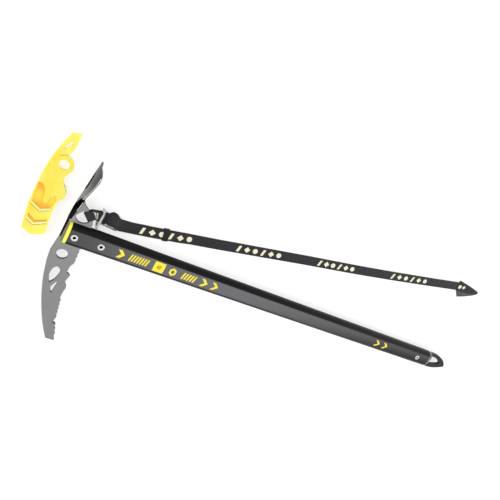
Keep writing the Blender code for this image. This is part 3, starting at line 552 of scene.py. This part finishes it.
# The plate ends here, towards the adze, and the adze's walls, black with painted shade, end at
# the next.
PLATE_TO = 60 * MM
WALLS_TO = 90 * MM
# Faces nearer a rivet's axis than this are its bore's.
BORE_WALL = 2.2 * MM


def head_finish(place, normal):
    """Which of the head's materials a face has: plate, walls black with painted shade, or the
    adze's steel.
    """
    if abs(place.z) < HALF_PLATE + 0.1 * MM and place.y < PLATE_TO:
        if abs(normal.z) > 0.5:
            return 0
        return 3 if place.y > 0 and normal.x < -0.5 else 2
    wall = abs(normal.x) < 0.45 and place.y < WALLS_TO
    return 2 if wall else 3


def build_metal():
    """The head, shaft, rivets and spike, from their CAD solids."""
    head = refined("axe_head", [FORGED, GROUND, PAINTED_SHADE, ADZE], 0.35 * MM, edge_material=1)
    for face in head.data.polygons:
        face.material_index = head_finish(face.center, face.normal)
    place_piece(head, "axe", ["axe_head"])
    # Thin bright bars along the adze's edge and the root line: painted highlights.
    edges = [metres(smooth(line, 4)) for line in (ADZE_EDGE, ROOT_LINE)]
    edges.append([(x, y, -z) for x, y, z in edges[1]])
    worn = rod("head_painted_highlights", edges, 0.5 * MM, BRIGHT, place=AXE)
    place_piece(worn, "axe")
    # Black rods filling the roots between flange and plate: painted shade.
    roots = [metres(smooth(ROOT, 4))]
    roots.append([(x, y, -z) for x, y, z in roots[0]])
    root = rod("head_roots", roots, ROOT_R, PAINTED_SHADE, place=AXE)
    place_piece(root, "axe")
    tube = refined("shaft_tube", [SHAFT], 0.3 * MM)
    place_piece(tube, "axe", ["shaft_tube"])
    collar = refined("shaft_collar", [COLLAR], 0.25 * MM)
    place_piece(collar, "axe", ["shaft_collar"])
    for node in ("head_rivet_front", "head_rivet_rear", "spike_rivet"):
        rivet = refined(node, [BRIGHT, PAINTED_SHADE], 0.1 * MM)
        middle = sum((v.co for v in rivet.data.vertices), Vector()) / len(rivet.data.vertices)
        # A rivet's bore walls get black painted shade.
        for face in rivet.data.polygons:
            inside = (face.center - middle).xy.length < BORE_WALL
            face.material_index = 1 if inside and abs(face.normal.z) < 0.5 else 0
        place_piece(rivet, "axe", [node])
    spike = refined("spike", [BLACK], 0.15 * MM)
    place_piece(spike, "axe", ["spike"])
    ferrule = refined("spike_ferrule", [FERRULE], 0.3 * MM)
    place_piece(ferrule, "axe", ["spike_ferrule"])
    for name in ("tang_liner", "spike_liner"):
        for side in ("upper", "lower"):
            liner = frame["nodes"][f"{name}_{side}"]
            liner.data.materials.clear()
            liner.data.materials.append(LINER)


def on_shaft(x, y):
    """The place on the shaft's upper side above a point, in the axe's frame."""
    past = max(0.0, abs(y) - FLAT_REACH)
    return (x, y, math.sqrt(ROUND_R**2 - past**2) + 0.02 * MM)


def arrow(x, height, arm, reach):
    """An arrowhead that points along the shaft."""
    half = height / 2
    tip = x + reach
    return [(x, half), (x + arm, half), (tip, 0), (x + arm, -half), (x, -half), (tip - arm, 0)]


def slanted_bars(start, end, count, height, fill=0.55, lean=1.2):
    """A row of leaning bars."""
    pitch = (end - start) / count
    width = pitch * fill
    half = height / 2
    bars = []
    for k in range(count):
        x = start + pitch * k
        bars.append([(x + lean, half), (x - lean, -half), (x - lean + width, -half)])
        bars[-1].append((x + lean + width, half))
    return bars


# The shaft's marks, in mm: (place along it, reach) of the arrows and (start, end, count) of
# the rows of bars, then the square with its round spot and the six-sided ring.
ARROWS = [(61.5, 10.5), (183, 11.5), (200, 11.5), (528, 12.5), (547, 12.5)]
ARROW_HEIGHT = 12
ARROW_ARM = 5
BAR_ROWS = [(79, 105.5, 7), (155, 176.5, 5)]
BAR_HEIGHT = 10.5
SQUARE_X = 120
SQUARE_HALF = 7.6
SPOT_R = 3.4
RING_X = 140
RING_OUTSIDE = (5.4, 6.2)
RING_INSIDE = (2.6, 3.0)


def spotted_square():
    """Two halves of a square, each without its half of a round spot in the middle."""
    halves = []
    for side, start, end in ((-1, 90, 270), (1, -90, 90)):
        rim = arc((SQUARE_X, 0), SPOT_R, start, end, 10)
        edge = SQUARE_X + side * SQUARE_HALF
        top = -side * SQUARE_HALF
        corners = [(SQUARE_X, top), (edge, top), (edge, -top), (SQUARE_X, -top)]
        halves.append([*corners, *rim[::-1]])
    return halves


def six_sided_ring():
    """The six flat pieces of a ring, each between two corners outside and two inside."""
    turns = [math.radians(60 * k + 30) for k in range(7)]
    outer, inner = (
        [(RING_X + wide * math.cos(turn), high * math.sin(turn)) for turn in turns]
        for wide, high in (RING_OUTSIDE, RING_INSIDE)
    )
    return [[outer[k], outer[k + 1], inner[k + 1], inner[k]] for k in range(6)]


def build_shaft_marks():
    """Yellow marks printed on the shaft: arrows, bars, a square with a round spot, a ring."""
    outlines = [arrow(x, ARROW_HEIGHT, ARROW_ARM, reach) for x, reach in ARROWS]
    for start, end, count in BAR_ROWS:
        outlines += slanted_bars(start, end, count, BAR_HEIGHT)
    outlines += spotted_square() + six_sided_ring()
    flat = [metres(outline) for outline in outlines]
    marks = draped_marks("shaft_marks", flat, on_shaft, INK, 0.04 * MM, AXE)
    place_piece(marks, "axe")


# ---------------------------------------------------------------------------- the leash

# The strap's centreline on the floor, from the buckle to its far end, as in the CAD part.
STRAP_ROUTE = [
    (-0.3085, 0.0515),
    (-0.2970, 0.0505),
    (-0.2850, 0.0498),
    (-0.2750, 0.0503),
    (-0.2650, 0.0515),
    (-0.2557, 0.0532),
    (-0.2205, 0.05995),
    (-0.1852, 0.0667),
    (-0.1500, 0.0735),
    (-0.1199, 0.0797),
    (-0.0822, 0.0874),
    (-0.0428, 0.0955),
    (-0.0015, 0.1040),
    (0.0420, 0.1125),
    (0.0874, 0.1215),
    (0.1352, 0.1315),
    (0.1850, 0.1423),
    (0.2373, 0.1540),
    (0.2924, 0.1666),
    (0.3042, 0.1693),
]
ROUTE_STEPS = 6
HUMP = 0.7 * MM
HUMP_FROM = 66 * MM
HUMP_TO = 106 * MM
HUMP_RAMP = 8 * MM


def route_line():
    """The strap's smooth centreline, and how far along it each of its points is."""
    line = [Vector(point) for point in smooth(STRAP_ROUTE, ROUTE_STEPS)]
    along = [0.0]
    for a, b in zip(line, line[1:]):
        along.append(along[-1] + (b - a).length)
    return line, along


ROUTE, ALONG = route_line()


def on_route(s):
    """The place and the direction of the strap's centreline at a distance along it."""
    for a, b, start, end in zip(ROUTE, ROUTE[1:], ALONG, ALONG[1:]):
        if s <= end or b is ROUTE[-1]:
            direction = (b - a).normalized()
            return a + direction * (s - start), direction
    raise ValueError("past the strap's end")


def lift(s):
    """How much higher the webbing lies at a distance along the strap."""
    rise = min((s - HUMP_FROM) / HUMP_RAMP + 1, (HUMP_TO - s) / HUMP_RAMP + 1, 1)
    rise = max(0.0, rise)
    return HUMP * rise * rise * (3 - 2 * rise)


def station(s, z, aside, half):
    """The centre of a strap at a place along the route, and its half width as a vector."""
    centre, direction = on_route(s * MM)
    across = Vector((-direction.y, direction.x, 0))
    flat = centre.to_3d() + across * aside * MM
    return flat + Vector((0, 0, z * MM + lift(s * MM))), across * half * MM


def lengthwise(start, end, step):
    """Even distances from start to end, in mm."""
    count = max(1, round(abs(end - start) / step))
    return [start + (end - start) * k / count for k in range(count + 1)]


# One side of the webbing's section: place across it, and height as a share of its half.
SECTION = [(-1.0, 0.25), (-0.985, 0.72), (-0.955, 0.98), (-0.915, 1.0), (-0.87, 0.84)]
SECTION += [(-0.6, 0.86), (-0.3, 0.87), (0.0, 0.88), (0.3, 0.87), (0.6, 0.86)]
SECTION += [(0.87, 0.84), (0.915, 1.0), (0.955, 0.98), (0.985, 0.72), (1.0, 0.25)]


def strap(name, stations, closed=False, thickness=WEB):
    """A length of woven webbing with thick edges, through (centre, half width) stations."""
    shape = bmesh.new()
    layer = shape.loops.layers.uv.new("strap")
    ring = [(v, h) for v, h in SECTION] + [(v, -h) for v, h in SECTION[::-1]]
    count = len(stations)
    rows = []
    along = 0.0
    for k, (centre, across) in enumerate(stations):
        before = stations[(k - 1) % count if closed else max(k - 1, 0)][0]
        after = stations[(k + 1) % count if closed else min(k + 1, count - 1)][0]
        normal = (after - before).cross(across).normalized()
        along += (centre - stations[k - 1][0]).length if k else 0.0
        half = across.length
        row = []
        for v, h in ring:
            vertex = shape.verts.new(centre + across * v + normal * h * thickness / 2)
            row.append((vertex, (along, v * half)))
        rows.append(row)
    if closed:
        step = (stations[0][0] - stations[-1][0]).length
        rows.append([(vertex, (along + step, v)) for vertex, (_, v) in rows[0]])
    for low, high in zip(rows, rows[1:]):
        for a, b, c, d in zip(low, low[1:] + low[:1], high[1:] + high[:1], high):
            face = shape.faces.new([corner[0] for corner in (a, b, c, d)])
            for loop, corner in zip(face.loops, (a, b, c, d)):
                loop[layer].uv = corner[1]
    if not closed:
        for row in (rows[0][::-1], rows[-1]):
            face = shape.faces.new([corner[0] for corner in row])
            for loop, corner in zip(face.loops, row):
                loop[layer].uv = corner[1]
    bmesh.ops.recalc_face_normals(shape, faces=shape.faces)
    return finish_mesh(shape, name, [WOVEN], 50)


def lower_path():
    """From the buckle to the far end, on the floor."""
    far = ALONG[-1] / MM
    half = WEB_WIDTH / MM / 2
    return [(s, LAYER_1 / MM, 0, half) for s in lengthwise(-1.5, far, 2)]


# The upper layer steps up over the tail between the first two of these distances along the
# strap, in mm, and leaves the floor's run for the arch at the third.
STEP_FROM = 124
STEP_TO = 113
ARCH_FROM = 44


def upper_path():
    """From the far end over the lower layer, up the arch, round the buckle's bar and back."""
    far = ALONG[-1] / MM
    half = WEB_WIDTH / MM / 2
    middle = LAYER_2 / MM
    high = LAYER_3 / MM
    path = [(s, middle, 0, half) for s in lengthwise(far, STEP_FROM, 2)]
    joining = lengthwise(STEP_FROM, STEP_TO, 1)[1:-1]
    ease = [(STEP_FROM - s) / (STEP_FROM - STEP_TO) for s in joining]
    rise = [middle + (high - middle) * e * e * (3 - 2 * e) for e in ease]
    path += [(s, z, 0, half) for s, z in zip(joining, rise)]
    path += [(s, high, 0, half) for s in lengthwise(STEP_TO, ARCH_FROM, 2)]
    arch = [(38, 4.3, 0, half), (33, 5.2, 0, half), (28, 7.0, 0.2, half), (24, 9.4, 1.6, 7.8)]
    arch += [(20, 12.2, 4.2, 8.6), (16, 14.0, 6.4, 9.2), (12, 14.6, 7.2, 9.2)]
    arch += [(8.8, 13.4, 6.0, 9.0), (6.4, 11.2, 2.6, 8.0), (5.0, 8.4, 0.6, half)]
    arch += [(5.0, 6.0, 0, half), (5.8, 4.1, 0, half), (7.4, 2.8, 0, half), (10, 2.4, 0, half)]
    path += smooth(arch, 5)
    return path + [(s, middle, 0, half) for s in lengthwise(12, TAIL_END / MM, 2)]


# The head's rim that the anchor loop goes round, in the axe's frame.
RIM_MIDDLE = Vector((11.7, 29.0, 0)) * MM
RIM_OUTWARD = Vector((0.73, 0.684, 0))
RIM_ALONG = Vector((-0.684, 0.73, 0))
BUCKLE_PLACE = Vector((-0.3085, 0.0515, 0))
BUCKLE_TURN = math.radians(-4.4)
# The loop's half widths at the rim and at the bar, and the stretches of each straight run.
HALF_AT_RIM = 6.2 * MM
HALF_AT_BAR = 7.2 * MM
ANCHOR_RUN = 10


def anchor_stations():
    """The closed loop from the head's hole to the buckle's first bar."""
    rim = [(7.5, 3.4), (4, 3.2), (0, 3.0), (-1.6, 2.2), (-2.1, 0), (-1.6, -2.2), (0, -3.0)]
    rim += [(4, -3.2), (7.5, -3.4)]
    bar = [(-3.3, 4.2), (-2.4, 2.8), (-1.0, 2.4), (0.8, 2.4), (1.9, 3.0), (2.2, 4.5)]
    bar += [(1.9, 6.0), (0.8, 6.6), (-1.4, 6.9)]
    to_row = Matrix.Translation(BUCKLE_PLACE) @ Matrix.Rotation(BUCKLE_TURN, 4, "Z")
    stations = []
    for reach, z in smooth(rim, 3):
        centre = AXE @ (RIM_MIDDLE + RIM_OUTWARD * reach * MM + Vector((0, 0, z * MM)))
        stations.append((centre, AXE.to_3x3() @ RIM_ALONG * HALF_AT_RIM))
    down = []
    half = to_row.to_3x3() @ Vector((0, HALF_AT_BAR, 0))
    for u, z in smooth(bar, 3):
        down.append((to_row @ (Vector((u, 0, z)) * MM), half))
    lower_run = blend_stations(stations[-1], down[0], ANCHOR_RUN)
    upper_run = blend_stations(down[-1], stations[0], ANCHOR_RUN)
    return stations + lower_run + down + upper_run


def blend_stations(first, last, count):
    """Stations between two others, leaving both out."""
    stations = []
    for k in range(1, count):
        t = k / count
        stations.append((first[0].lerp(last[0], t), first[1].lerp(last[1], t)))
    return stations


# Each run of printed marks lies between two distances along the strap, in mm.
PRINT_RUNS = [(50, 128), (190, 268), (328, 402), (472, 556)]
MARKS_IN_RUN = 6
# The marks' half height across the strap, the lozenge's and the bar's half lengths, the bar's
# lean and the disc's radius, in mm.
MARK_HALF = 4.6
LOZENGE_HALF = 4.8
SLANT_HALF = 2.0
SLANT_LEAN = 1.8
DISC_R = 3.9


def lozenge(s):
    """A lozenge's outline in mm, at a distance along the strap."""
    return [(s - LOZENGE_HALF, 0), (s, -MARK_HALF), (s + LOZENGE_HALF, 0), (s, MARK_HALF)]


def slant(s):
    """A slanted bar's outline in mm, at a distance along the strap."""
    return [
        (s - SLANT_HALF - SLANT_LEAN, -MARK_HALF),
        (s + SLANT_HALF - SLANT_LEAN, -MARK_HALF),
        (s + SLANT_HALF + SLANT_LEAN, MARK_HALF),
        (s - SLANT_HALF + SLANT_LEAN, MARK_HALF),
    ]


def disc(s):
    """A disc's outline in mm, at a distance along the strap."""
    return arc((s, 0), DISC_R, 0, 345, 23)


def print_outlines():
    """The strap's printed marks in metres: a row of plain shapes in each run."""
    outlines = []
    for start, end in PRINT_RUNS:
        pitch = (end - start) / MARKS_IN_RUN
        for k in range(MARKS_IN_RUN):
            shape = (slant, lozenge, disc)[k % 3]
            outlines.append(metres(shape(start + pitch * (k + 0.5))))
    return outlines


def on_strap(s, v):
    """A point on top of the upper webbing, at a distance along it and across it."""
    centre, direction = on_route(s)
    across = Vector((-direction.y, direction.x))
    place = centre + across * v
    layer = LAYER_2
    if s < STEP_FROM * MM:
        ease = min(1.0, (STEP_FROM * MM - s) / ((STEP_FROM - STEP_TO) * MM))
        layer += (LAYER_3 - LAYER_2) * ease * ease * (3 - 2 * ease)
    return (place.x, place.y, layer + lift(s) + WEB * 0.44 + 0.02 * MM)


ANCHOR = anchor_stations()


def anchor_outlines():
    """Two slanted bars on the anchor loop's upper side, in metres along and across it."""
    return [metres(slant(along)) for along in (7.4, 13.4)]


def on_anchor(s, v):
    """A point on the upper side of the anchor loop, from the buckle towards the rim."""
    first, last = ANCHOR[-ANCHOR_RUN], ANCHOR[0]
    run = last[0] - first[0]
    share = s / run.length
    across = first[1].lerp(last[1], share).normalized()
    normal = run.cross(across).normalized()
    normal = normal if normal.z > 0 else -normal
    return first[0] + run * share + across * v + normal * (WEB * 0.5 + 0.03 * MM)


def build_leash():
    """Webbing, its print and its folded end, with the buckle, its bail and the keeper."""
    lower = strap("leash_lower_webbing", [station(*p) for p in lower_path()])
    place_piece(lower, "leash", ["leash_lower_strap"])
    upper = strap("leash_upper_webbing", [station(*p) for p in upper_path()])
    place_piece(upper, "leash", ["leash_upper_strap"])
    anchor = strap("leash_anchor_webbing", ANCHOR, closed=True)
    place_piece(anchor, "leash", ["leash_anchor_loop"])
    marks = draped_marks("leash_print", print_outlines(), on_strap, PRINT, 0.05 * MM)
    place_piece(marks, "leash")
    badge = draped_marks("anchor_print", anchor_outlines(), on_anchor, PRINT, 0.06 * MM)
    place_piece(badge, "leash")
    fold = build_end_fold()
    buckle = refined("buckle_frame", [BUCKLE], 0.35 * MM, Matrix.Identity(4), 3)
    place_piece(buckle, "leash", ["buckle_frame"])
    bail = refined("buckle_bail", [BUCKLE], 0.3 * MM, Matrix.Identity(4), 3)
    place_piece(bail, "bail", ["buckle_bail"])
    keeper = refined("strap_keeper", [RUBBER], 0.35 * MM, Matrix.Identity(4), 3)
    place_piece(keeper, "keeper", ["strap_keeper"])
    upper_line = [station(*p)[0] for p in upper_path()]


# The folded end's outlines in the row frame, in millimetres.
END_TIP = [(350, 164.4), (357.6, 168.6), (361.2, 172.8), (358.4, 175.4)]
END_TOP_EDGE = [(358.4, 175.4), (346, 177.0), (330, 178.6), (304.4, 180.2)]


def build_end_fold():
    """The folded, pointed far end: a paler inner layer, the strap over it and a rolled edge."""
    inner = [(306.0, 162.0), (309.2, 161.6), (320.2, 151.6), (337.4, 158.2)]
    inner += smooth(END_TIP, 4) + [(330, 178.0), (305.0, 179.6)]
    under = rounded_plate("leash_end_inner", [metres(inner)], 0.3 * MM, 2.0 * MM, 0.6 * MM,
                          LIGHT_WOVEN)
    strap_uv(under)
    place_piece(under, "leash", ["leash_end_fold"])
    flap = [(304.9, 162.2), (311.0, 162.0), (336, 165.2)]
    flap += smooth([(350, 167.6), (357.8, 170.4), (360.6, 173.0), (358.0, 175.0)], 4)
    flap += [(330, 178.4), (303.4, 180.2), (302.2, 176.9)]
    over = rounded_plate("leash_end_flap", [metres(flap)], 2.05 * MM, 3.1 * MM, 0.4 * MM, WOVEN)
    strap_uv(over)
    place_piece(over, "leash")
    roll = [(x * MM, y * MM, 2.3 * MM) for x, y in smooth(END_TOP_EDGE, 5)]
    edge = rod("leash_end_roll", [roll], 0.95 * MM, THREAD)
    place_piece(edge, "leash")
    seam = [(314, 163.8), (330, 166.0), (345, 168.6), (354, 172.2), (343, 175.0), (318, 177.4)]
    thread = rod("leash_end_stitches", stitches(seam, 3.12), 0.17 * MM, THREAD)
    place_piece(thread, "leash")
    round_mark = arc((310.6, 170.4), 3.7, 0, 345, 23)
    square_mark = [(316.4, 172.6), (319.8, 168.6), (323.8, 172.0), (320.4, 176.0)]
    flat = [metres(round_mark), metres(square_mark)]
    marks = draped_marks("leash_end_print", flat, on_flap, PRINT, 0.05 * MM)
    place_piece(marks, "leash")
    return [under, over, edge, thread, marks]


def on_flap(x, y):
    """The place on the end flap's upper side."""
    return (x, y, 3.12 * MM)


def stitches(line, height, length=2.2, gap=1.1):
    """Short threads along a line of (x, y) points in millimetres."""
    threads = []
    for (x0, y0), (x1, y1) in zip(line, line[1:]):
        span = math.hypot(x1 - x0, y1 - y0)
        count = max(1, round(span / (length + gap)))
        for k in range(count):
            start = (k + 0.15) / count
            end = (k + 0.85) / count
            ends = [(x0 + (x1 - x0) * t, y0 + (y1 - y0) * t, height) for t in (start, end)]
            threads.append(metres(ends))
    return threads


def strap_uv(obj):
    """Lay the weave over a flat piece, along the strap's last stretch."""
    mesh = obj.data
    layer = mesh.uv_layers.new(name="strap")
    start, direction = on_route(ALONG[-1])
    across = Vector((-direction.y, direction.x))
    for loop in mesh.loops:
        offset = mesh.vertices[loop.vertex_index].co.xy - start
        layer.data[loop.index].uv = (offset.dot(direction), offset.dot(across) * 0.3)


# ----------------------------------------------------------------------- the head cover


# The centre of the cover's ring, on the floor.
COVER_RING = Vector((-0.3705, 0.0975, 0))
COVER_TOP = 12 * MM
COVER_RECESS = 10.6 * MM
# The two raised ridges across the cover, in mm from its ring, with a painted highlight, and
# how far below each runs its line of painted shadow.
CRESTS = [[(-17.9, -57.0), (-5.8, -63.4), (4.4, -58.2)]]
CRESTS += [[(-16.6, -77.6), (-6.9, -82.6), (6.1, -75.6)]]
RIDGE_SHADOW_BELOW = 1.7 * MM


def build_cover():
    """The moulded cover, with its sunken grips in a deeper colour."""
    place = Matrix.Translation(COVER_RING)
    cover = refined("head_cover", [YELLOW, ORANGE, RIM], 0.5 * MM, place, 3, 2)
    for face in cover.data.polygons:
        if abs(face.center.z - COVER_RECESS) < 0.1 * MM and face.normal.z > 0.9:
            face.material_index = 1
    place_piece(cover, "cover", ["head_cover"])
    # The ridges carry a painted highlight, and a line of painted shadow runs below each.
    raised = [[(x * MM, y * MM, COVER_TOP) for x, y in line] for line in CRESTS]
    ridges = rod("cover_ridge_highlights", raised, 0.95 * MM, RIDGE_HIGHLIGHT, 0.6, place)
    place_piece(ridges, "cover")
    below = [[(x, y - RIDGE_SHADOW_BELOW, z) for x, y, z in line] for line in raised]
    lines = rod("cover_ridge_shadow_lines", below, 0.4 * MM, RIDGE_SHADOW, 0.4, place)
    place_piece(lines, "cover")
    for piece in (cover, ridges, lines):
        piece.visible_glossy = False


# -------------------------------------------------------------- floor, light and camera

CAMERA_PLACE = Vector((-0.3860, 0.2431, 0.5732))
CAMERA_RIGHT = Vector((0.8322, 0.4734, 0.2886))
CAMERA_FORWARD = Vector((0.4372, -0.2403, -0.8667))
LENS = 32.4
SENSOR = 36
FLOOR_HALF = 40


def build_stage():
    """A plain pale floor, which glows a little so that shadows on it stay faint."""
    shape = bmesh.new()
    bmesh.ops.create_grid(shape, x_segments=1, y_segments=1, size=FLOOR_HALF)
    material, tree, shader, place = new_material("floor", Roughness=0.9)
    tint = blend_colour(tree, noise(tree, place, 2, 2), (0.42, 0.42, 0.42), (0.44, 0.44, 0.44))
    tree.links.new(tint, shader.inputs["Base Color"])
    shader.inputs["Specular IOR Level"].default_value = 0.0
    shader.inputs["Emission Color"].default_value = (1, 1, 1, 1)
    shader.inputs["Emission Strength"].default_value = 0.65
    floor = finish_mesh(shape, "floor", [material])


def area_light(name, place, target, size, power):
    """A round lamp that points at a target."""
    light = bpy.data.lights.new(name, "AREA")
    light.shape = "DISK"
    light.size = size
    light.energy = power
    lamp = bpy.data.objects.new(name, light)
    bpy.context.scene.collection.objects.link(lamp)
    lamp.location = place
    lamp.rotation_euler = (Vector(target) - Vector(place)).to_track_quat("-Z", "Y").to_euler()


def build_light():
    """A pale sky, brightest overhead, with a large key lamp and a weaker fill lamp."""
    world = bpy.data.worlds.new("studio")
    bpy.context.scene.world = world
    world.use_nodes = True
    tree = world.node_tree
    direction = add_node(tree, "TexCoord").outputs["Generated"]
    split = add_node(tree, "SeparateXYZ", inputs={"Vector": direction})
    sky = remap(tree, split.outputs["Z"], 0.0, 0.8)
    colour = blend_colour(tree, sky, (0.55, 0.55, 0.56), (1.0, 1.0, 1.0))
    tree.links.new(colour, tree.nodes["Background"].inputs["Color"])
    tree.nodes["Background"].inputs["Strength"].default_value = 1.0
    area_light("key", (0.9, -0.5, 1.5), (0, 0, 0), 0.9, 9)
    area_light("fill", (-1.2, 0.5, 1.2), (-0.2, 0.05, 0), 0.8, 6)


def build_camera():
    """The camera, at the photograph's angle."""
    camera = bpy.data.objects.new("camera", bpy.data.cameras.new("camera"))
    bpy.context.scene.collection.objects.link(camera)
    camera.data.sensor_width = SENSOR
    camera.data.lens = LENS
    camera.data.clip_start = 0.01
    right = CAMERA_RIGHT.normalized()
    back = -CAMERA_FORWARD.normalized()
    turn = Matrix((right, back.cross(right), back)).transposed()
    camera.matrix_world = Matrix.Translation(CAMERA_PLACE) @ turn.to_4x4()
    bpy.context.scene.camera = camera
    bpy.context.scene.view_settings.view_transform = "Standard"


build_stage()
build_light()
build_camera()
build_leash()
build_metal()
build_shaft_marks()
build_cover()
